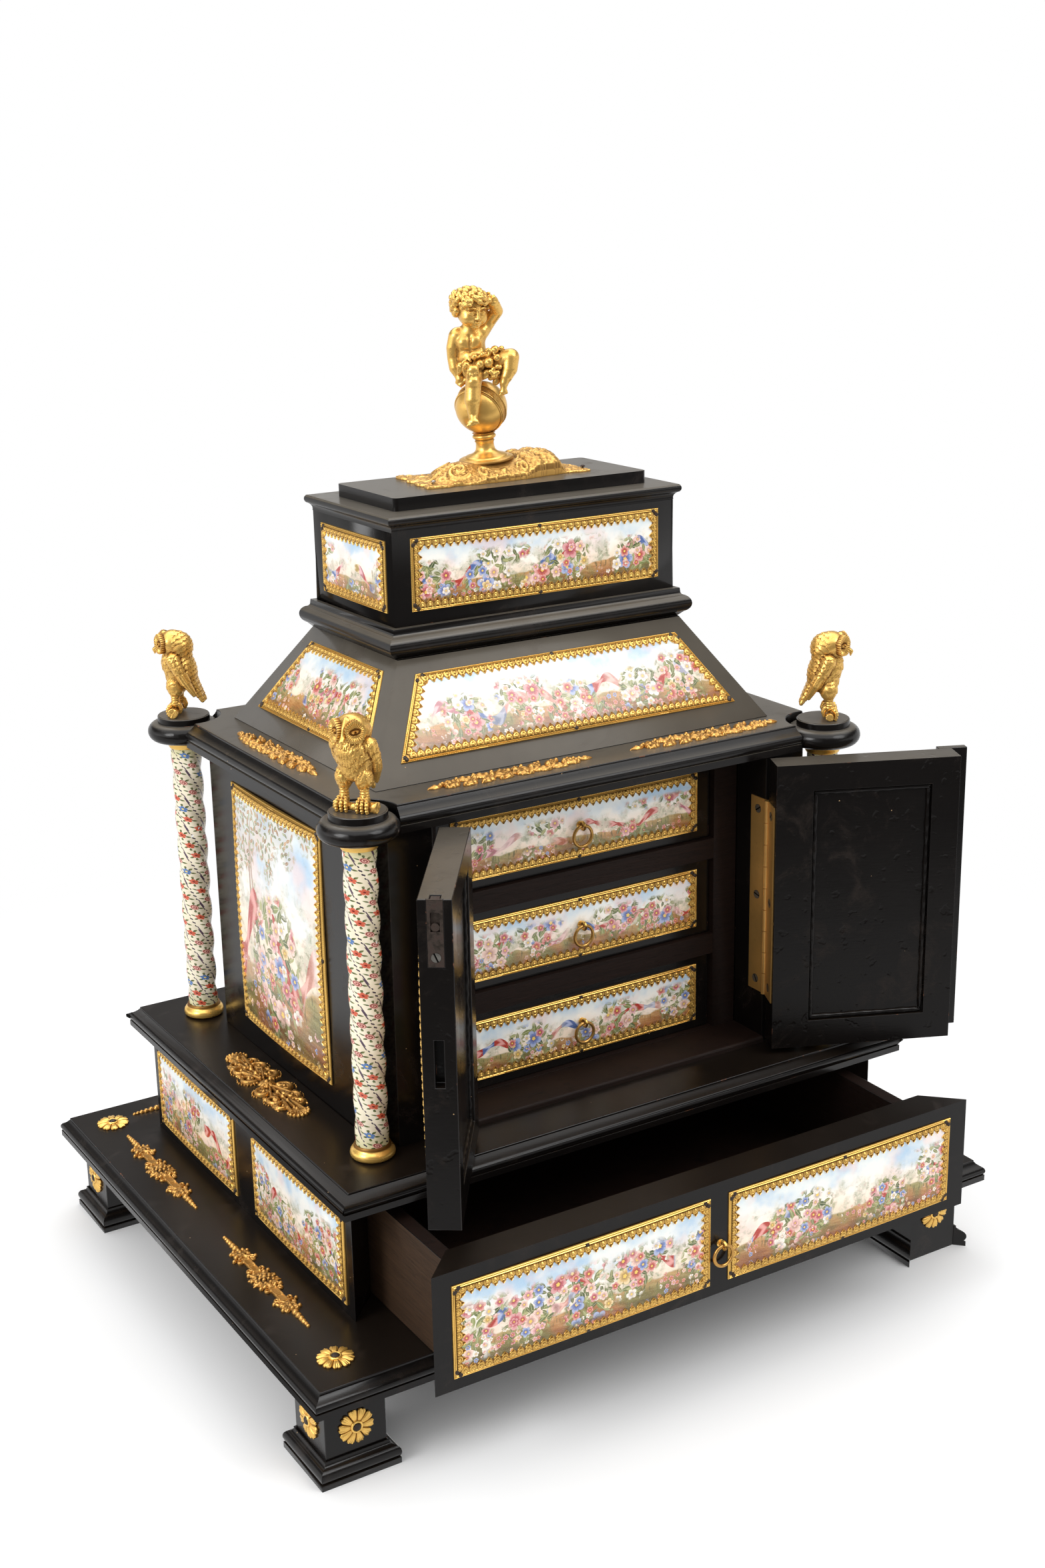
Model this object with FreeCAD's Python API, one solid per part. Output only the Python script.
import FreeCAD, Part
import math
import os

# A table cabinet for coins, in millimetres. The origin is on the floor under the centre of the
# plinth, +Z is up, -Y is the front. It is modelled with both doors open and the base drawer out.

V = FreeCAD.Vector
UP = V(0, 0, 1)

# Feet and plinth
FOOT_HALF = 16.35
FOOT_X, FOOT_Y = 183.9, 144.6
FOOT_MOULDING_REACH = 5.25
FOOT_MOULDING_TOP = 12.5
PLINTH_HALF_X, PLINTH_HALF_Y = 205.4, 169.1
PLINTH_BOTTOM, PLINTH_TOP = 44.3, 56.1
PLINTH_REACH = 4.6
ROSETTE_RADIUS = 9.25
ROSETTE_THICKNESS = 1.4
ROSETTE_PIN_RADIUS = 2.0
ROSETTE_X, ROSETTE_Y = 186.3, 147.5
FOOT_ROSETTE_Z = 26.0

# Lower case with the base drawer
LOWER_HALF_X = 163.75
LOWER_FRONT, LOWER_BACK = -124.75, 129.25
LOWER_SIDE_THICKNESS = 17.5
LOWER_BACK_THICKNESS = 12.0
BASE_FRONT_HALF_X = 163.0
BASE_FRONT_BOTTOM, BASE_FRONT_TOP = 57.4, 119.4
BASE_FRONT_THICKNESS = 18.0
BASE_BOX_HALF_X = 145.0
BASE_BOX_BACK = 112.0
BASE_BOX_BOTTOM, BASE_BOX_TOP = 56.6, 112.0
BASE_DRAWER_OUT = 78.5

# Middle board and main case
MID_HALF_X, MID_HALF_Y = 168.9, 133.7
MID_BOTTOM, MID_TOP = 120.3, 132.3
MID_REACH = 5.1
CASE_HALF_X = 135.0
CASE_FRONT, CASE_BACK = -106.0, 85.5
CASE_TOP = 297.5
CASE_BOARD = 12.0
CANT_X, CANT_Y = 9.0, 14.0
JAMB_X = 101.5
RECESS_FRONT = -81.0
PARTITION_INNER, PARTITION_OUTER = 86.0, 101.0
RAIL_TOP = 135.5
FLOOR_TOP = 136.1
TOP_BOARD_BOTTOM = 290.7

# Doors and their hinges
HINGE_X, HINGE_Y = 101.0, -107.8
LEFT_DOOR_OPEN = 125.0
RIGHT_DOOR_OPEN = 156.0
DOOR_NEAR, DOOR_FAR = 0.5, 100.0
DOOR_OUTER, DOOR_INNER = 1.8, 17.3
DOOR_BOTTOM, DOOR_TOP = 136.0, 296.4
DOOR_PLAQUE_CENTRE = 50.2
KNUCKLES = 9
HINGE_BOTTOM, HINGE_TOP = 161.3, 272.5
KNUCKLE_RADIUS = 1.6
KNUCKLE_GAP = 0.3
PIN_RADIUS = 0.8
PIN_CLEARANCE = 0.06
LEAF_NEAR, LEAF_FAR = 0.1, 0.9
LEAF_START, LEAF_END = 1.9, 13.8

# Bolt and lock, measured across the door from the hinge, through its thickness, and up
BOLT_PLATE_BOTTOM = 265.0
BOLT_KNOB_Z = 283.5
BOLT_KNOB_RADIUS = 1.95
BOLT_TRAVEL = 4.5
LOCK_BOTTOM, LOCK_TOP = 205.0, 233.0
LOCK_BOLT_BOTTOM, LOCK_BOLT_TOP = 213.3, 224.7
KEYHOLE_FROM_HINGE = 89.5
KEYHOLE_Z = 219.0

# Inner drawers
INNER_HALF_X = 84.8
INNER_HEIGHT = 43.0
INNER_PITCH = 55.4
INNER_LOWEST = 158.0
INNER_FACE = -78.0
INNER_FRONT_THICKNESS = 14.0
INNER_BOX_HALF_X = 83.6
INNER_BOX_BACK = 66.0
DIVIDER_THICKNESS = 11.6

# Rings and their eyes
RING_RADIUS = 5.6
RING_WIRE = 0.62
EYE_RADIUS = 2.1
EYE_WIRE = 0.7

# Columns, cornice and owls
COLUMN_X, COLUMN_Y = 140.4, 105.0
COLUMN_RADIUS = 8.5
COLUMN_BASE_TOP = 139.3
COLUMN_CAP_BOTTOM = 293.0
CORNICE_HALF_X, CORNICE_HALF_Y = 142.5, 106.5
CORNICE_BOTTOM, CORNICE_TOP = 297.5, 310.5
CORNICE_REACH = 5.0
BOSS_RADIUS = 20.0
BOSS_DISC_RADIUS = 14.3
BOSS_ROUND = 10.2
BOSS_TOP = 311.5

# Roof, attic box, slab and finial
ROOF_BASE_X, ROOF_BASE_Y = 119.7, 83.4
ROOF_TOP_X, ROOF_TOP_Y = 85.9, 47.7
ROOF_TOP = 364.3
ROOF_BOARD = 9.0
ROOF_FRAME_LIFT = 11.6
CAP_HALF_X, CAP_HALF_Y = 86.6, 46.1
CAP_TOP = 379.3
CAP_REACH = 5.5
ATTIC_HALF_X, ATTIC_HALF_Y = 84.6, 43.5
ATTIC_BOARD = 8.0
ATTIC_TOP = 427.0
ATTIC_CORNICE_TOP = 435.0
ATTIC_CORNICE_REACH = 3.5
SLAB_HALF_X, SLAB_HALF_Y = 76.1, 31.5
SLAB_TOP = 441.6
FINIAL_X = -4.0
FINIAL_LEAN = 5.0
STAND_BOTTOM = 451.0
EGG_CENTRE = 478.5
EGG_RADIUS = 13.8
CHILD_TOP = 540.0

# Plaques and their stamped frames
FRAME_WIDTH = 5.5
FRAME_THICKNESS = 1.4
PLAQUE_INSET = 4.4
PLAQUE_EDGE = 0.8

MITRE_TAIL = 60.0
FAR = 500.0


def export(name, *solids):
    """Write one named piece, or a group of like pieces, as a STEP file."""
    shape = solids[0] if len(solids) == 1 else Part.makeCompound(list(solids))
    shape.exportStep("parts/" + name + ".step")


def block(x0, x1, y0, y1, z0, z1):
    """A box between two corners, given in either order."""
    low = V(min(x0, x1), min(y0, y1), min(z0, z1))
    return Part.makeBox(abs(x1 - x0), abs(y1 - y0), abs(z1 - z0), low)


def prism(points, direction):
    """A closed flat outline pushed along a direction."""
    return Part.Face(Part.makePolygon(points + [points[0]])).extrude(direction)


def fuse(first, *others):
    return first.fuse(list(others)).removeSplitter()


def turned(points):
    """A solid turned about the Z axis from (radius, height) points and arcs."""
    edges = outline_edges([(0, points[0][1])] + points + [(0, points[-1][-1])])
    return Part.Face(Part.Wire(edges)).revolve(V(0, 0, 0), UP, 360)


def outline_edges(points):
    """Edges in the XZ plane; a point with four values is an arc through a middle point."""
    edges = []
    here = V(points[0][0], 0, points[0][1])
    for step in points[1:]:
        there = V(step[-2], 0, step[-1])
        if len(step) == 4:
            middle = V(step[0], 0, step[1])
            edges.append(Part.Arc(here, middle, there).toShape())
        elif here.distanceToPoint(there) > 1e-6:
            edges.append(Part.makeLine(here, there))
        here = there
    start = V(points[0][0], 0, points[0][1])
    if here.distanceToPoint(start) > 1e-6:
        edges.append(Part.makeLine(here, start))
    return edges


def moved(shape, x, y, z=0):
    copy = shape.copy()
    copy.translate(V(x, y, z))
    return copy


def spun(shape, degrees, centre=V(0, 0, 0), axis=UP):
    copy = shape.copy()
    copy.rotate(centre, axis, degrees)
    return copy


def hexahedron(lower, upper):
    """A solid with six flat faces between two outlines of four points."""
    faces = [lower, upper]
    for i in range(4):
        j = (i + 1) % 4
        faces.append([lower[i], lower[j], upper[j], upper[i]])
    shell = Part.makeShell([Part.Face(Part.makePolygon(face + [face[0]])) for face in faces])
    solid = Part.makeSolid(shell)
    if solid.Volume < 0:
        solid.reverse()
    return solid


# Mouldings

def strip(section, reach, half_run):
    """One moulding strip on the +X side of a board, mitred at both ends."""
    edges = outline_edges([(reach + p[0], p[1]) if len(p) == 2
                           else (reach + p[0], p[1], reach + p[2], p[3]) for p in section])
    bar = Part.Face(Part.Wire(edges)).extrude(V(0, 2 * FAR, 0))
    bar.translate(V(0, -FAR, 0))
    tail = min(MITRE_TAIL, half_run)
    wedge = prism([V(reach - tail, tail - half_run, 0), V(reach + tail, -tail - half_run, 0),
                   V(reach + tail, tail + half_run, 0), V(reach - tail, half_run - tail, 0)],
                  V(0, 0, FAR + FAR))
    return bar.common(wedge)


def strip_ring(section, half_x, half_y, sides=("right", "back", "left", "front")):
    """Moulding strips round a rectangular board."""
    angles = {"right": 0, "back": 90, "left": 180, "front": 270}
    strips = []
    for side in sides:
        along_x = side in ("back", "front")
        reach, run = (half_y, half_x) if along_x else (half_x, half_y)
        strips.append(spun(strip(section, reach, run), angles[side]))
    return strips


def board_moulding(top, bottom, reach):
    """Section: a small step, a hollow ledge, a half-round bead and a straight band below it."""
    band = bottom + 0.28 * (top - bottom)
    bead_top = top - 0.32 * (top - bottom)
    bead_middle = 0.5 * (band + bead_top)
    return [(0, top - 1.0), (0.28 * reach, top - 2.5, 0.68 * reach, bead_top),
            (reach, bead_middle, 0.72 * reach, band), (0.94 * reach, band),
            (0.94 * reach, bottom), (0, bottom)]


def foot_moulding():
    """Section: a hollow ledge over a bead and a short band."""
    top, reach = FOOT_MOULDING_TOP, FOOT_MOULDING_REACH
    return [(0, top), (0.18 * reach, top), (0.24 * reach, top - 1.8, 0.62 * reach, top - 3.0),
            (reach, 6.0, 0.72 * reach, 3.0), (0.96 * reach, 3.0), (0.96 * reach, 0), (0, 0)]


def roof_moulding():
    """Section: a step beside the attic box, a hollow slope and a big bead."""
    top, reach = CAP_TOP, CAP_REACH
    return [(0, top), (0.12 * reach, top), (0.16 * reach, top - 1.8),
            (0.24 * reach, top - 3.2, 0.5 * reach, top - 3.9),
            (reach, top - 8.3, 0.44 * reach, top - 12.7), (0, ROOF_TOP)]


def attic_moulding():
    """Section: a cove under a bead, flat on top."""
    top, reach = ATTIC_CORNICE_TOP, ATTIC_CORNICE_REACH
    return [(0, top), (0.7 * reach, top), (reach, top - 2.0, 0.75 * reach, top - 4.0),
            (0.25 * reach, top - 5.2, 0.1 * reach, ATTIC_TOP), (0, ATTIC_TOP)]


# Plaques and frames, made in a local frame: width along X, height along Z, the outside is -Y

def trapezoid(low_half, high_half, height, inset, y=0):
    """Corners of an upright trapezoid centred at the origin, drawn in by an inset."""
    slope = (low_half - high_half) / height
    side = inset * math.sqrt(1 + slope * slope)
    low, high = inset, height - inset
    at_low = low_half - slope * low - side
    at_high = low_half - slope * high - side
    if inset == 0:
        at_low, at_high = low_half, high_half
    low, high = low - height / 2, high - height / 2
    return [V(-at_low, y, low), V(at_low, y, low), V(at_high, y, high), V(-at_high, y, high)]


def frame_ring(low_half, high_half, height):
    """A flat stamped frame round a plaque."""
    out = V(0, -FRAME_THICKNESS, 0)
    outer = prism(trapezoid(low_half, high_half, height, 0), out)
    return outer.cut(prism(trapezoid(low_half, high_half, height, FRAME_WIDTH), out))


def plaque(low_half, high_half, height, dome):
    """An enamelled plate, thin at the corners and swelling to its dome in the middle."""
    slab = prism(trapezoid(low_half, high_half, height, PLAQUE_INSET), V(0, -dome, 0))
    corner = math.hypot(low_half - PLAQUE_INSET, height / 2 - PLAQUE_INSET)
    rise = dome - PLAQUE_EDGE
    radius = (corner * corner + rise * rise) / (2 * rise)
    ball = Part.makeSphere(radius)
    ball.translate(V(0, radius - dome, 0))
    # the frame lies over the plate's rim, so the plate is cut back where the frame is
    plate = slab.common(ball)
    rim = prism(trapezoid(low_half, high_half, height, 0), V(0, -dome, 0))
    rim = rim.cut(prism(trapezoid(low_half, high_half, height, FRAME_WIDTH), V(0, -dome, 0)))
    return plate.cut(rim)


def facing(shape, degrees, x, y, z, lean=0):
    """Turn a piece made for the front to face another way, leaning back by a lean angle."""
    copy = spun(shape, -lean, axis=V(1, 0, 0))
    copy = spun(copy, degrees)
    return moved(copy, x, y, z)


def fixed_panels():
    """(low half width, high half width, height, dome, facing angle, centre, lean) of each
    plaque on the fixed body; the back repeats the front and the sides."""
    panels = []
    for side, angle in ((-1, -90), (1, 90)):
        surface = side * LOWER_HALF_X
        for y in (68.5, -63.0):
            panels.append((54.0, 54.0, 50.5, 2.4, angle, (surface, y, 86.8), 0))
        panels.append((53.5, 53.5, 137.0, 4.5, angle, (side * CASE_HALF_X, 2.0, 215.5), 0))
        panels.append((35.2, 35.2, 36.4, 2.0, angle,
                       (side * ATTIC_HALF_X, -1.4, 403.8), 0))
        panels.append(roof_panel(side, True))
    for side, angle in ((-1, 0), (1, 180)):
        panels.append((74.8, 74.8, 37.0, 2.0, angle, (0, side * ATTIC_HALF_Y, 404.8), 0))
        panels.append(roof_panel(side, False))
    for x in (-62.0, 62.0):
        panels.append((53.5, 53.5, 137.0, 4.5, 180, (x, CASE_BACK, 215.5), 0))
    for x in (-79.0, 79.0):
        panels.append((73.3, 73.3, 48.4, 2.4, 180, (x, LOWER_BACK, 87.8), 0))
    return panels


def roof_panel(side, on_end):
    """The trapezoid plaque on one slope of the roof."""
    base, top = (ROOF_BASE_X, ROOF_TOP_X) if on_end else (ROOF_BASE_Y, ROOF_TOP_Y)
    rise = ROOF_TOP - CORNICE_TOP
    lean = math.degrees(math.atan2(base - top, rise))
    slant = math.hypot(base - top, rise)
    height = 44.0
    middle = ROOF_FRAME_LIFT + height / 2
    out = base - (base - top) * middle / slant
    z = CORNICE_TOP + rise * middle / slant
    if on_end:
        return (63.0, 40.4, height, 2.0, 90 * side, (side * out, 0, z), lean)
    return (102.0, 79.3, height, 2.2, 0 if side < 0 else 180, (0, side * out, z), lean)


def make_fixed_panels():
    plaques = []
    frames = []
    for low, high, height, dome, angle, centre, lean in fixed_panels():
        plaques.append(facing(plaque(low, high, height, dome), angle, *centre, lean=lean))
        frames.append(facing(frame_ring(low, high, height), angle, *centre, lean=lean))
    export("case_plaques", *plaques)
    export("case_frames", *frames)


# Feet, plinth and lower case

def foot_sides(x_side, y_side):
    """The right front foot has lost the strip from its front face."""
    if x_side > 0 and y_side < 0:
        return ("right", "back", "left")
    return ("right", "back", "left", "front")


def make_feet():
    blocks = []
    strips = []
    for x_side in (-1, 1):
        for y_side in (-1, 1):
            x, y = x_side * FOOT_X, y_side * FOOT_Y
            blocks.append(block(x - FOOT_HALF, x + FOOT_HALF, y - FOOT_HALF, y + FOOT_HALF,
                                0, PLINTH_BOTTOM))
            for piece in strip_ring(foot_moulding(), FOOT_HALF, FOOT_HALF,
                                    foot_sides(x_side, y_side)):
                strips.append(moved(piece, x, y))
    export("feet", *blocks)
    return strips


def make_plinth(foot_strips):
    """The plinth board, and one group of all the strips round it and round the feet."""
    export("plinth_board", block(-PLINTH_HALF_X, PLINTH_HALF_X, -PLINTH_HALF_Y, PLINTH_HALF_Y,
                                 PLINTH_BOTTOM, PLINTH_TOP))
    section = board_moulding(PLINTH_TOP, PLINTH_BOTTOM, PLINTH_REACH)
    export("base_mouldings", *strip_ring(section, PLINTH_HALF_X, PLINTH_HALF_Y), *foot_strips)


def rosette():
    """A stamped flower of eight petals with a boss, lying flat on z = 0, and its pin."""
    points = []
    for i in range(16):
        angle = math.pi * i / 8
        radius = ROSETTE_RADIUS if i % 2 == 0 else 0.8 * ROSETTE_RADIUS
        points.append(V(radius * math.cos(angle), radius * math.sin(angle), 0))
    flower = prism(points, V(0, 0, ROSETTE_THICKNESS))
    boss = Part.makeCylinder(ROSETTE_PIN_RADIUS + 1.0, 2.2)
    pin = Part.makeCylinder(ROSETTE_PIN_RADIUS, 2.6)
    return fuse(flower, boss).cut(pin), pin


def make_rosettes():
    pieces = []
    for x_side in (-1, 1):
        for y_side in (-1, 1):
            for piece in rosette():
                pieces.append(moved(piece, x_side * ROSETTE_X, y_side * ROSETTE_Y, PLINTH_TOP))
                outward = spun(piece, 90 * x_side, axis=V(0, 1, 0))
                pieces.append(moved(outward, x_side * (FOOT_X + FOOT_HALF), y_side * FOOT_Y,
                                    FOOT_ROSETTE_Z))
                outward = spun(piece, -90 * y_side, axis=V(1, 0, 0))
                pieces.append(moved(outward, x_side * FOOT_X, y_side * (FOOT_Y + FOOT_HALF),
                                    FOOT_ROSETTE_Z))
    export("rosettes", *pieces)


def leaf_mount(length, width, height, lobes):
    """A flat cast mount with a wavy outline and a raised middle, lying along X on z = 0."""
    half = []
    steps = 8 * lobes
    for i in range(steps + 1):
        t = i / steps
        wave = 0.62 + 0.38 * abs(math.cos(math.pi * lobes * (t - 0.5)))
        taper = 0.35 + 0.65 * math.sin(math.pi * t)
        half.append((length * (t - 0.5), 0.5 * width * wave * taper))
    points = [V(x, -y, 0) for x, y in half] + [V(x, y, 0) for x, y in reversed(half)]
    plate = prism(points, V(0, 0, 0.6 * height))
    spine = block(-0.3 * length, 0.3 * length, -0.18 * width, 0.18 * width, 0, height)
    return fuse(plate, spine)


def make_ledge_mounts():
    slender = leaf_mount(103.0, 14.0, 2.8, 5)
    scroll = leaf_mount(91.0, 25.0, 3.4, 3)
    garland = leaf_mount(96.0, 14.0, 3.0, 5)
    pieces = []
    for side in (-1, 1):
        for y in (75.3, -64.5):
            pieces.append(moved(spun(slender, 90), side * 185.0, y, PLINTH_TOP))
        pieces.append(moved(spun(scroll, 90), side * 151.0, -3.5, MID_TOP))
        pieces.append(moved(spun(garland, 90), side * 130.5, 6.0, CORNICE_TOP))
    for x in (-120.5, 0, 120.5):
        pieces.append(moved(slender, x, 151.5, PLINTH_TOP))
    pieces.append(moved(scroll, 0, 112.0, MID_TOP))
    for x in (-49.5, 69.5):
        pieces.append(moved(garland, x, -94.5, CORNICE_TOP))
    for x in (-60.0, 60.0):
        pieces.append(moved(garland, x, 94.5, CORNICE_TOP))
    export("ledge_mounts", *pieces)


def make_lower_case():
    """Two side boards with mitred front ends, and a back board between them."""
    boards = []
    inner = LOWER_HALF_X - LOWER_SIDE_THICKNESS
    for side in (-1, 1):
        points = [V(side * LOWER_HALF_X, LOWER_FRONT, PLINTH_TOP),
                  V(side * LOWER_HALF_X, LOWER_BACK, PLINTH_TOP),
                  V(side * inner, LOWER_BACK, PLINTH_TOP),
                  V(side * inner, LOWER_FRONT + LOWER_SIDE_THICKNESS, PLINTH_TOP)]
        boards.append(prism(points, V(0, 0, MID_BOTTOM - PLINTH_TOP)))
    boards.append(block(-inner, inner, LOWER_BACK - LOWER_BACK_THICKNESS, LOWER_BACK,
                        PLINTH_TOP, MID_BOTTOM))
    export("lower_case_boards", *boards)


def make_middle_board():
    export("mid_board", block(-MID_HALF_X, MID_HALF_X, -MID_HALF_Y, MID_HALF_Y,
                              MID_BOTTOM, MID_TOP))
    export("mid_moulding", *strip_ring(board_moulding(MID_TOP, MID_BOTTOM, MID_REACH),
                                       MID_HALF_X, MID_HALF_Y))


# Main case

def stile(side):
    """A front corner post with a canted outer corner and a seat for the hinge leaf."""
    outline = [V(side * JAMB_X, CASE_FRONT, MID_TOP),
               V(side * (CASE_HALF_X - CANT_X), CASE_FRONT, MID_TOP),
               V(side * CASE_HALF_X, CASE_FRONT + CANT_Y, MID_TOP),
               V(side * CASE_HALF_X, RECESS_FRONT, MID_TOP),
               V(side * JAMB_X, RECESS_FRONT, MID_TOP)]
    post = prism(outline, V(0, 0, CASE_TOP - MID_TOP))
    seat = block(side * JAMB_X, side * (HINGE_X + LEAF_FAR), CASE_FRONT, HINGE_Y + LEAF_END,
                 HINGE_BOTTOM, HINGE_TOP)
    return post.cut(seat)


def make_case():
    boards = []
    partitions = []
    for side in (-1, 1):
        boards.append(block(side * CASE_HALF_X, side * (CASE_HALF_X - CASE_BOARD),
                            RECESS_FRONT, CASE_BACK, MID_TOP, CASE_TOP))
        boards.append(stile(side))
        partitions.append(block(side * PARTITION_INNER, side * PARTITION_OUTER,
                                RECESS_FRONT, CASE_BACK - CASE_BOARD, MID_TOP, CASE_TOP))
    boards.append(block(CASE_BOARD - CASE_HALF_X, CASE_HALF_X - CASE_BOARD,
                        CASE_BACK - CASE_BOARD, CASE_BACK, MID_TOP, CASE_TOP))
    export("case_boards", *boards)
    export("case_partitions", *partitions, *dividers())


def dividers():
    """Floor, two dividers and top board between the partitions, and the front bottom rail."""
    back = CASE_BACK - CASE_BOARD
    width = PARTITION_INNER
    pieces = [block(-width, width, RECESS_FRONT, back, MID_TOP, FLOOR_TOP),
              block(-width, width, RECESS_FRONT, back, TOP_BOARD_BOTTOM, CASE_TOP)]
    for gap in (0.5, 1.5):
        middle = INNER_LOWEST + gap * INNER_PITCH
        pieces.append(block(-width, width, RECESS_FRONT, back,
                            middle - DIVIDER_THICKNESS / 2, middle + DIVIDER_THICKNESS / 2))
    rail = block(-JAMB_X, JAMB_X, CASE_FRONT - 1.5, RECESS_FRONT, MID_TOP, RAIL_TOP)
    front_edge = [e for e in rail.Edges if abs(e.CenterOfMass.y - CASE_FRONT + 1.5) < 0.01
                  and abs(e.CenterOfMass.z - RAIL_TOP) < 0.01]
    pieces.append(rail.makeFillet(1.5, front_edge))
    return pieces


def make_columns():
    """Four shafts, each with a ring at its foot and a cup at its head."""
    foot = turned([(9.6, MID_TOP), (10.8, MID_TOP + 2.4, 9.9, MID_TOP + 4.8),
                   (9.0, COLUMN_BASE_TOP)])
    cup = turned([(8.8, COLUMN_CAP_BOTTOM), (9.2, COLUMN_CAP_BOTTOM + 2.6, 10.8, CORNICE_BOTTOM)])
    shaft = Part.makeCylinder(COLUMN_RADIUS, COLUMN_CAP_BOTTOM - COLUMN_BASE_TOP,
                              V(0, 0, COLUMN_BASE_TOP))
    shafts = []
    rings = []
    for x_side in (-1, 1):
        for y_side in (-1, 1):
            x, y = x_side * COLUMN_X, y_side * COLUMN_Y
            shafts.append(moved(shaft, x, y))
            rings.append(moved(foot, x, y))
            rings.append(moved(cup, x, y))
    export("columns", *shafts)
    export("column_rings", *rings)


# Doors, built closed and then swung open about their pins

def across(side, distance):
    """X of a point on a closed door, from its distance to the pin."""
    return side * (HINGE_X - distance)


def door_block(side, near, far, outer, inner, bottom, top):
    """A box given by distances from the pin, across the door and through it."""
    return block(across(side, near), across(side, far), HINGE_Y + outer, HINGE_Y + inner,
                 bottom, top)


def swing(side, shape):
    degrees = -LEFT_DOOR_OPEN if side < 0 else RIGHT_DOOR_OPEN
    return spun(shape, degrees, centre=V(side * HINGE_X, HINGE_Y, 0))


def door_board(side):
    """The wooden leaf, with a sunk inner panel and a seat for the hinge leaf."""
    board = door_block(side, DOOR_NEAR, DOOR_FAR, DOOR_OUTER, DOOR_INNER, DOOR_BOTTOM, DOOR_TOP)
    panel = door_block(side, 20.5, 85.0, DOOR_INNER - 2.5, DOOR_INNER, 151.0, 282.0)
    seat = door_block(side, DOOR_NEAR, LEAF_FAR, DOOR_OUTER, LEAF_END, HINGE_BOTTOM, HINGE_TOP)
    return board.cut(panel).cut(seat)


def knuckle_spans(own):
    """Bottom and top of the knuckles of one leaf; the jamb leaf owns the even ones."""
    pitch = (HINGE_TOP - HINGE_BOTTOM) / KNUCKLES
    return [(HINGE_BOTTOM + i * pitch + KNUCKLE_GAP / 2,
             HINGE_BOTTOM + (i + 1) * pitch - KNUCKLE_GAP / 2)
            for i in range(KNUCKLES) if i % 2 == own]


def hinge_leaf(side, own, sign):
    """Plate, knuckles and the tabs that join them; sign is +1 on the door, -1 on the jamb."""
    near, far = sign * LEAF_NEAR, sign * LEAF_FAR
    pieces = []
    for bottom, top in knuckle_spans(own):
        pieces.append(Part.makeCylinder(KNUCKLE_RADIUS, top - bottom,
                                        V(side * HINGE_X, HINGE_Y, bottom)))
        pieces.append(door_block(side, near, far, 0.3, LEAF_START + 0.5, bottom, top))
    plate = door_block(side, near, far, LEAF_START, LEAF_END, HINGE_BOTTOM, HINGE_TOP)
    return fuse(plate, *pieces)


def make_jamb_leaves():
    leaves = []
    for side in (-1, 1):
        pin = Part.makeCylinder(PIN_RADIUS, HINGE_TOP - HINGE_BOTTOM - KNUCKLE_GAP,
                                V(side * HINGE_X, HINGE_Y, HINGE_BOTTOM + KNUCKLE_GAP / 2))
        leaves.append(fuse(hinge_leaf(side, 0, -1), pin))
    export("hinge_jamb_leaves", *leaves)


def door_leaf(side):
    bore = Part.makeCylinder(PIN_RADIUS + PIN_CLEARANCE, HINGE_TOP - HINGE_BOTTOM,
                             V(side * HINGE_X, HINGE_Y, HINGE_BOTTOM))
    return hinge_leaf(side, 1, 1).cut(bore)


def make_door_panel(side, name):
    """The domed plaque and its frame on the outer face."""
    place = (across(side, DOOR_PLAQUE_CENTRE), HINGE_Y + DOOR_OUTER,
             (DOOR_BOTTOM + DOOR_TOP) / 2)
    export(name + "_plaque", swing(side, moved(plaque(36.0, 36.0, 138.0, 4.2), *place)))
    frame = swing(side, moved(frame_ring(36.0, 36.0, 138.0), *place))
    export(name + "_frame", frame)


def make_left_door():
    side = -1
    knob_slot = (7.45, 11.65, BOLT_KNOB_Z - 2.1, BOLT_KNOB_Z + BOLT_TRAVEL + 2.4)
    board = door_board(side)
    board = board.cut(door_block(side, 99.0, DOOR_FAR, 5.95, 13.15, BOLT_PLATE_BOTTOM, DOOR_TOP))
    board = board.cut(door_block(side, 94.0, 99.0, 7.2, 11.9, 268.0, DOOR_TOP))
    board = board.cut(door_block(side, 94.0, DOOR_FAR, 7.4, 11.7, 207.0, 230.0))
    export("left_door_board", swing(side, board))
    make_door_panel(side, "left_door")
    export("left_hinge_leaf", swing(side, door_leaf(side)))
    plate = door_block(side, 99.0, DOOR_FAR, 5.95, 13.15, BOLT_PLATE_BOTTOM, DOOR_TOP)
    plate = plate.cut(door_block(side, 99.0, DOOR_FAR, *knob_slot))
    export("flush_bolt_plate", swing(side, plate))
    rod = door_block(side, 94.4, 98.6, 7.5, 11.6, BOLT_KNOB_Z - 7.5, DOOR_TOP - 0.4)
    middle = (7.45 + 11.65) / 2
    knob = Part.makeCylinder(BOLT_KNOB_RADIUS, 1.6,
                             V(across(side, 98.2), HINGE_Y + middle, BOLT_KNOB_Z), V(-side, 0, 0))
    export("flush_bolt", swing(side, fuse(rod, knob)))


def keyhole(side):
    """A round hole over a slot, from the outer face through the lock's cover."""
    x = across(side, KEYHOLE_FROM_HINGE)
    y = HINGE_Y + DOOR_OUTER - 2.0
    hole = Part.makeCylinder(1.1, 7.5, V(x, y, KEYHOLE_Z + 1.4), V(0, 1, 0))
    slot = block(x - 0.55, x + 0.55, y, y + 7.5, KEYHOLE_Z - 2.6, KEYHOLE_Z + 1.4)
    return fuse(hole, slot)


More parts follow.
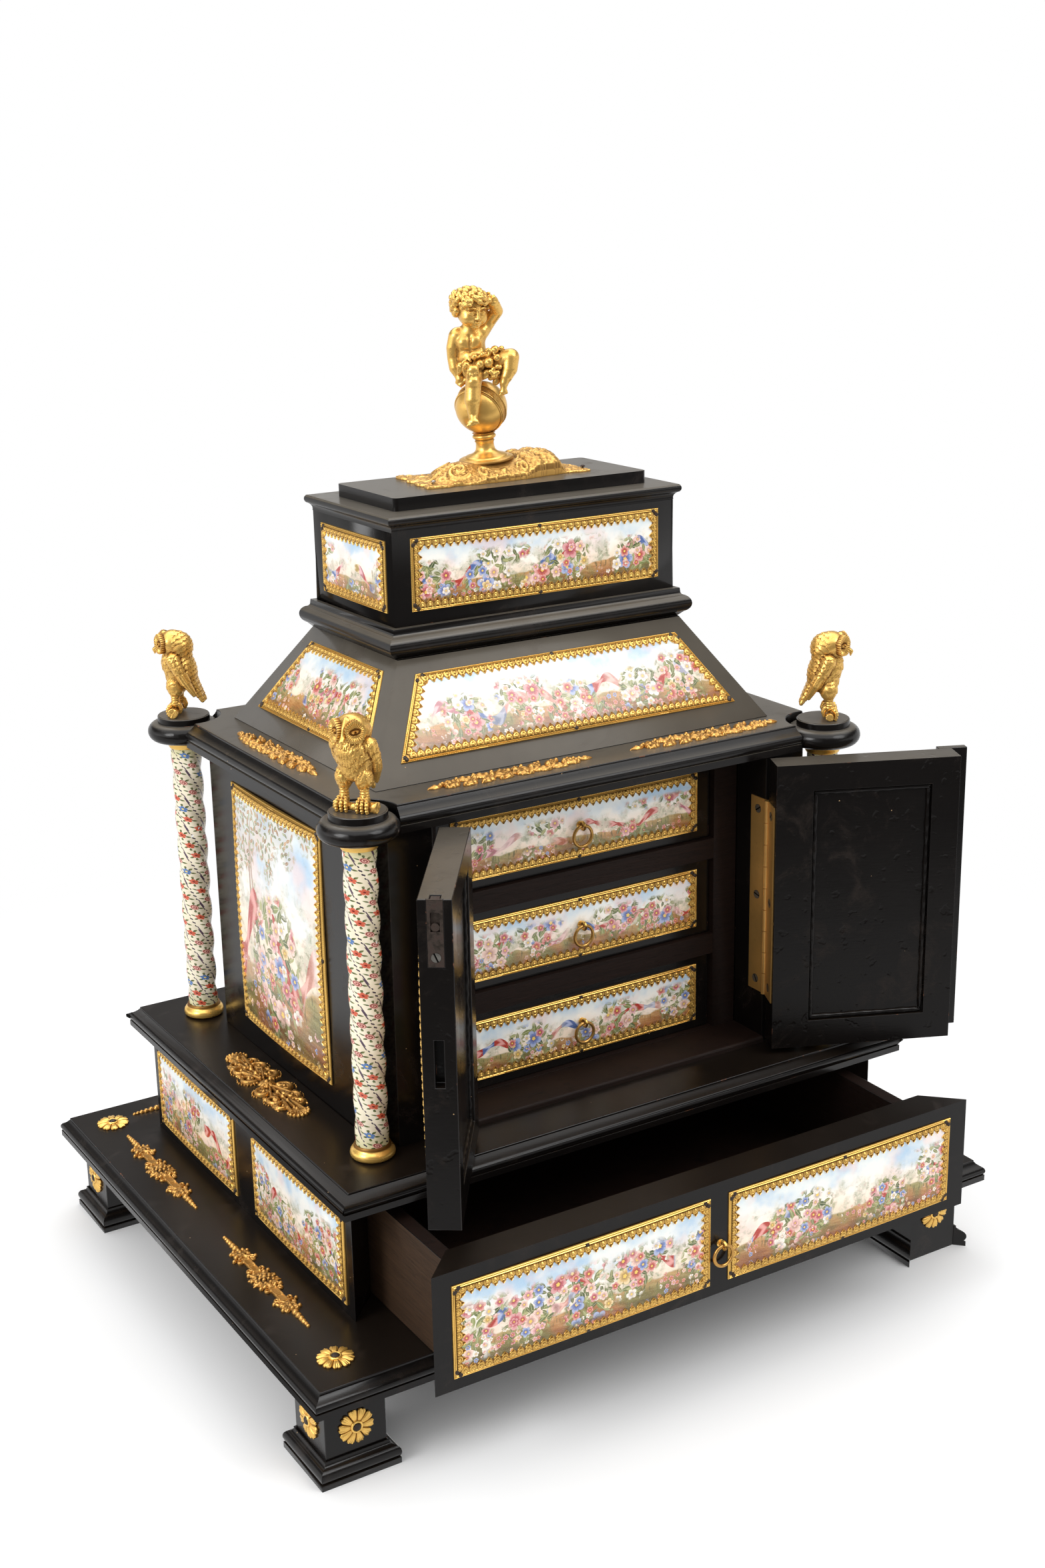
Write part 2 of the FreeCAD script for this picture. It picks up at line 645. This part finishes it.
def make_right_door():
    side = 1
    case = door_block(side, 78.0, 98.8, 6.3, 12.8, LOCK_BOTTOM, LOCK_TOP)
    forend = door_block(side, 98.8, DOOR_FAR, 5.6, 13.5, LOCK_BOTTOM - 4, LOCK_TOP + 4)
    bolt_way = door_block(side, 86.0, DOOR_FAR, 7.7, 11.3, LOCK_BOLT_BOTTOM - 0.3,
                          LOCK_BOLT_TOP + 0.3)
    lock = fuse(case, forend)
    board = door_board(side).cut(lock).cut(keyhole(side))
    export("right_door_board", swing(side, board))
    export("lock_case", swing(side, lock.cut(bolt_way).cut(keyhole(side))))
    export("lock_bolt", swing(side, door_block(side, 86.5, 99.8, 7.95, 11.05,
                                               LOCK_BOLT_BOTTOM, LOCK_BOLT_TOP)))
    make_door_panel(side, "right_door")
    export("right_hinge_leaf", swing(side, door_leaf(side)))
    bead = door_block(side, 93.0, 109.0, DOOR_OUTER - 5.0, DOOR_OUTER, DOOR_BOTTOM, DOOR_TOP)
    bead = bead.cut(door_block(side, DOOR_FAR, 109.0, DOOR_OUTER - 0.4, DOOR_OUTER,
                               DOOR_BOTTOM, DOOR_TOP))
    export("astragal", swing(side, bead))


# Drawers

def ring_parts(y_face, z_eye):
    """A ring pull hanging from a strap eye on a face; the eye's ring stands in the YZ plane."""
    stand_off = EYE_RADIUS + 1.0
    eye = Part.makeTorus(EYE_RADIUS, EYE_WIRE, V(0, y_face - stand_off, z_eye), V(1, 0, 0))
    shank = Part.makeCylinder(EYE_WIRE, 1.4, V(0, y_face - 1.2, z_eye), V(0, 1, 0))
    ring = Part.makeTorus(RING_RADIUS, RING_WIRE,
                          V(0, y_face - stand_off, z_eye - RING_RADIUS), V(0, 1, 0))
    return fuse(eye, shank), ring


def drawer_box(half_x, front, back, bottom, top, side_board, floor):
    """Two sides, a back and a floor, as separate boards."""
    boards = [block(side * half_x, side * (half_x - side_board), front, back, bottom, top)
              for side in (-1, 1)]
    inside = half_x - side_board
    boards.append(block(-inside, inside, back - side_board, back, bottom, top))
    boards.append(block(-inside, inside, front, back - side_board, bottom, bottom + floor))
    return boards


def make_base_drawer():
    """The wide drawer, drawn out, with a mitred front and two plaques."""
    shift = -BASE_DRAWER_OUT
    face = LOWER_FRONT + shift
    behind = face + BASE_FRONT_THICKNESS
    inner = BASE_FRONT_HALF_X - BASE_FRONT_THICKNESS
    height = BASE_FRONT_TOP - BASE_FRONT_BOTTOM
    front = prism([V(-BASE_FRONT_HALF_X, face, BASE_FRONT_BOTTOM),
                   V(BASE_FRONT_HALF_X, face, BASE_FRONT_BOTTOM),
                   V(inner, behind, BASE_FRONT_BOTTOM),
                   V(-inner, behind, BASE_FRONT_BOTTOM)], V(0, 0, height))
    eye, ring = ring_parts(face, 85.6)
    export("base_drawer_front", front.cut(eye))
    export("base_drawer_box", *drawer_box(BASE_BOX_HALF_X, behind, BASE_BOX_BACK + shift,
                                          BASE_BOX_BOTTOM, BASE_BOX_TOP, 8.0, 5.0))
    plaques = []
    gilt = []
    for x in (-79.65, 78.2):
        plaques.append(moved(plaque(73.3, 73.3, 48.4, 2.4), x, face, 87.8))
        gilt.append(moved(frame_ring(73.3, 73.3, 48.4), x, face, 87.8))
    export("base_drawer_plaques", *plaques)
    export("base_drawer_gilt", *gilt, eye)
    export("base_drawer_ring", ring)


def make_inner_drawer(index, name):
    """One of the three coin drawers, pushed in."""
    z = INNER_LOWEST + index * INNER_PITCH
    half = INNER_HEIGHT / 2
    dome = 1.6
    behind = INNER_FACE + INNER_FRONT_THICKNESS
    front = block(-INNER_HALF_X, INNER_HALF_X, INNER_FACE, behind, z - half, z + half)
    export(name + "_drawer_front", front)
    export(name + "_drawer_box", *drawer_box(INNER_BOX_HALF_X, behind, INNER_BOX_BACK,
                                             z - half + 0.2, z + half - 4.0, 6.0, 4.0))
    plate = moved(plaque(76.5, 76.5, 33.5, dome), 0, INNER_FACE, z)
    frame = moved(frame_ring(76.5, 76.5, 33.5), 0, INNER_FACE, z)
    eye, ring = ring_parts(INNER_FACE - dome, z + 1.8)
    export(name + "_drawer_plaque", plate.cut(eye))
    export(name + "_drawer_gilt", frame, eye)
    export(name + "_drawer_ring", ring)


# Cornice, owls and roof

def boss():
    """A round corner of the cornice with a raised disc for the owl."""
    shoulder = CORNICE_BOTTOM + BOSS_ROUND
    return turned([(15.5, CORNICE_BOTTOM),
                   (BOSS_RADIUS, CORNICE_BOTTOM + BOSS_ROUND / 2, BOSS_DISC_RADIUS, shoulder),
                   (BOSS_DISC_RADIUS, BOSS_TOP - 0.5), (BOSS_DISC_RADIUS - 0.5, BOSS_TOP)])


def strike_hole():
    """The hole in the underside that takes the left door's bolt."""
    return block(across(-1, 94.0), across(-1, 99.0), HINGE_Y + 7.1, HINGE_Y + 12.0,
                 CORNICE_BOTTOM, CORNICE_BOTTOM + 5.5)


def make_cornice():
    corners = [moved(Part.makeCylinder(BOSS_RADIUS, CORNICE_TOP, V(0, 0, 0)),
                     x_side * COLUMN_X, y_side * COLUMN_Y)
               for x_side in (-1, 1) for y_side in (-1, 1)]
    board = block(-CORNICE_HALF_X, CORNICE_HALF_X, -CORNICE_HALF_Y, CORNICE_HALF_Y,
                  CORNICE_BOTTOM, CORNICE_TOP).cut(corners).cut(strike_hole())
    export("cornice_board", board)
    section = board_moulding(CORNICE_TOP, CORNICE_BOTTOM, CORNICE_REACH)
    strips = [piece.cut(corners)
              for piece in strip_ring(section, CORNICE_HALF_X, CORNICE_HALF_Y)]
    export("cornice_moulding", *strips)
    export("corner_bosses", *[moved(boss(), x_side * COLUMN_X, y_side * COLUMN_Y)
                              for x_side in (-1, 1) for y_side in (-1, 1)])


def ellipsoid(centre, size):
    """A ball stretched to three half sizes."""
    matrix = FreeCAD.Matrix()
    matrix.scale(V(*size))
    ball = Part.makeSphere(1.0).transformGeometry(matrix)
    ball.translate(V(*centre))
    return ball


def limb(start, start_radius, end, end_radius):
    """A tapering limb with a round end."""
    along = V(*end) - V(*start)
    if abs(start_radius - end_radius) < 0.01:
        cone = Part.makeCylinder(start_radius, along.Length, V(*start), along)
    else:
        cone = Part.makeCone(start_radius, end_radius, along.Length, V(*start), along)
    return fuse(cone, Part.makeSphere(end_radius, V(*end)), Part.makeSphere(start_radius, V(*start)))


def owl():
    """An owl on a piece of branch, facing -Y, standing on z = 0, with its tail down behind."""
    body = ellipsoid((0, 1.0, 26.0), (12.6, 9.6, 14.6))
    head = ellipsoid((0, -2.5, 41.0), (9.4, 8.4, 8.2))
    tail_tip = [V(-4.0, 9.6, 3.6), V(4.0, 9.6, 3.6), V(4.0, 12.6, 4.4), V(-4.0, 12.6, 4.4)]
    tail_root = [V(2.0 * p.x, p.y - 6.5, p.z + 20.0) for p in tail_tip]
    tail = hexahedron(tail_tip, tail_root)
    branch = Part.makeCylinder(2.6, 23.0, V(-11.5, -3.0, 2.6), V(1, 0, 0))
    legs = []
    for side in (-1, 1):
        legs.append(limb((side * 5.2, -0.5, 17.0), 5.0, (side * 5.6, -2.6, 7.5), 2.7))
        legs.append(ellipsoid((side * 5.8, -4.2, 3.6), (4.4, 4.6, 3.6)))
    return fuse(body, head, tail, branch, *legs)


def make_owls():
    pieces = []
    for x_side in (-1, 1):
        for y_side in (-1, 1):
            heading = math.degrees(math.atan2(y_side, x_side)) + 90
            pieces.append(moved(spun(owl(), heading), x_side * COLUMN_X, y_side * COLUMN_Y,
                                BOSS_TOP))
    export("owls", *pieces)


def four_walls(base, top, z0, z1, thickness):
    """Four boards, mitred at the corners, from a base rectangle to a top rectangle."""
    def corner(half, inset, sx, sy, z):
        return V(sx * (half[0] - inset), sy * (half[1] - inset), z)
    turns = ((-1, -1), (1, -1), (1, 1), (-1, 1))
    boards = []
    for i in range(4):
        a, b = turns[i], turns[(i + 1) % 4]
        rings = [[corner(half, 0, *a, z), corner(half, 0, *b, z),
                  corner(half, thickness, *b, z), corner(half, thickness, *a, z)]
                 for half, z in ((base, z0), (top, z1))]
        boards.append(hexahedron(*rings))
    return boards


def make_roof():
    export("roof_boards", *four_walls((ROOF_BASE_X, ROOF_BASE_Y), (ROOF_TOP_X, ROOF_TOP_Y),
                                      CORNICE_TOP, ROOF_TOP, ROOF_BOARD))
    cap = block(-CAP_HALF_X, CAP_HALF_X, -CAP_HALF_Y, CAP_HALF_Y, ROOF_TOP, CAP_TOP)
    export("roof_cap", cap, *strip_ring(roof_moulding(), CAP_HALF_X, CAP_HALF_Y))
    attic = (ATTIC_HALF_X, ATTIC_HALF_Y)
    export("attic_boards", *four_walls(attic, attic, CAP_TOP, ATTIC_TOP, ATTIC_BOARD))
    cornice = block(-ATTIC_HALF_X, ATTIC_HALF_X, -ATTIC_HALF_Y, ATTIC_HALF_Y,
                    ATTIC_TOP, ATTIC_CORNICE_TOP)
    export("attic_cornice", cornice, *strip_ring(attic_moulding(), ATTIC_HALF_X, ATTIC_HALF_Y))
    slab = block(-SLAB_HALF_X, SLAB_HALF_X, -SLAB_HALF_Y, SLAB_HALF_Y,
                 ATTIC_CORNICE_TOP, SLAB_TOP)
    upright = [e for e in slab.Edges if abs(e.tangentAt(e.FirstParameter).z) > 0.99]
    export("top_slab", slab.makeFillet(2.5, upright))


# Finial

def make_finial_plate():
    """A cast relief plate: a thin spreading base and a mound under the stand."""
    corners = [(-50, -18), (-20, -22), (10, -20), (52, -16), (53, 8), (49, 20), (20, 18),
               (-20, 22), (-46, 31), (-47, 8)]
    base = prism([V(x, y, SLAB_TOP) for x, y in corners], V(0, 0, 1.4))
    mound = turned([(19.0, SLAB_TOP), (17.0, SLAB_TOP + 6.0, 14.8, SLAB_TOP + 9.4)])
    matrix = FreeCAD.Matrix()
    matrix.scale(V(2.0, 0.95, 1.0))
    mound = mound.transformGeometry(matrix)
    export("finial_plate", fuse(base, mound).cut(finial_stand()))


def lean(shape):
    """The finial stands a little off plumb."""
    return spun(moved(shape, FINIAL_X, 0), -FINIAL_LEAN, centre=V(FINIAL_X, 0, STAND_BOTTOM),
                axis=V(0, 1, 0))


def finial_stand():
    """A turned stand with an egg on it."""
    profile = [(14.4, STAND_BOTTOM), (14.4, STAND_BOTTOM + 2.2), (11.0, STAND_BOTTOM + 3.6),
               (5.6, STAND_BOTTOM + 6.4), (4.7, STAND_BOTTOM + 8.5), (4.7, STAND_BOTTOM + 11.6),
               (6.2, STAND_BOTTOM + 13.2, 5.2, STAND_BOTTOM + 14.8),
               (EGG_RADIUS, EGG_CENTRE, 3.0, EGG_CENTRE + 13.2)]
    return lean(turned(profile))


def view_place(right, toward, z):
    """A place by its distances to the right of and toward an observer at the front left."""
    return (0.85 * right - 0.52 * toward, -0.53 * right - 0.85 * toward, z)


def make_child():
    """A seated child, as plain rounded forms: trunk, head, two arms, two legs, garland."""
    p = view_place
    trunk = ellipsoid(p(-4.5, 2.0, 506.0), (9.2, 8.0, 15.0))
    hips = Part.makeSphere(9.4, V(*p(-1.5, 2.5, 498.5)))
    head = Part.makeSphere(11.4, V(*p(-3.8, 3.5, CHILD_TOP - 11.2)))
    limbs = [limb(p(-11.0, 3.0, 514.0), 3.6, p(-13.0, 2.5, 504.0), 3.2),
             limb(p(-13.0, 2.5, 504.0), 3.2, p(-9.4, 4.5, 493.5), 2.7),
             limb(p(2.0, 2.0, 514.5), 3.6, p(11.4, 3.5, 525.5), 3.3),
             limb(p(11.4, 3.5, 525.5), 3.3, p(6.6, 4.5, 532.0), 2.9),
             limb(p(-3.0, 5.0, 497.0), 6.0, p(-2.4, 14.0, 493.0), 4.6),
             limb(p(-2.4, 14.0, 493.0), 4.6, p(-3.2, 17.0, 475.0), 3.3),
             limb(p(-3.2, 17.0, 475.0), 3.3, p(-3.2, 19.6, 470.8), 2.7),
             limb(p(3.0, 4.0, 499.0), 6.0, p(16.0, 8.0, 501.0), 4.8),
             limb(p(16.0, 8.0, 501.0), 4.8, p(12.6, 12.5, 487.0), 3.1)]
    garland = [Part.makeSphere(3.8, V(*p(a, d, z))) for a, d, z in
               ((-9.0, 6.5, 497.5), (-3.5, 9.5, 499.5), (2.5, 10.0, 498.0), (7.5, 8.0, 503.5))]
    child = lean(fuse(trunk, hips, head, *limbs, *garland))
    export("finial_child", child.cut(finial_stand()))


def make_all():
    os.makedirs("parts", exist_ok=True)
    make_plinth(make_feet())
    make_rosettes()
    make_ledge_mounts()
    make_lower_case()
    make_middle_board()
    make_case()
    make_columns()
    make_jamb_leaves()
    make_left_door()
    make_right_door()
    make_base_drawer()
    for index, name in enumerate(("lower", "middle", "upper")):
        make_inner_drawer(index, name)
    make_cornice()
    make_owls()
    make_roof()
    make_fixed_panels()
    make_finial_plate()
    export("finial_stand", finial_stand())
    make_child()


make_all()
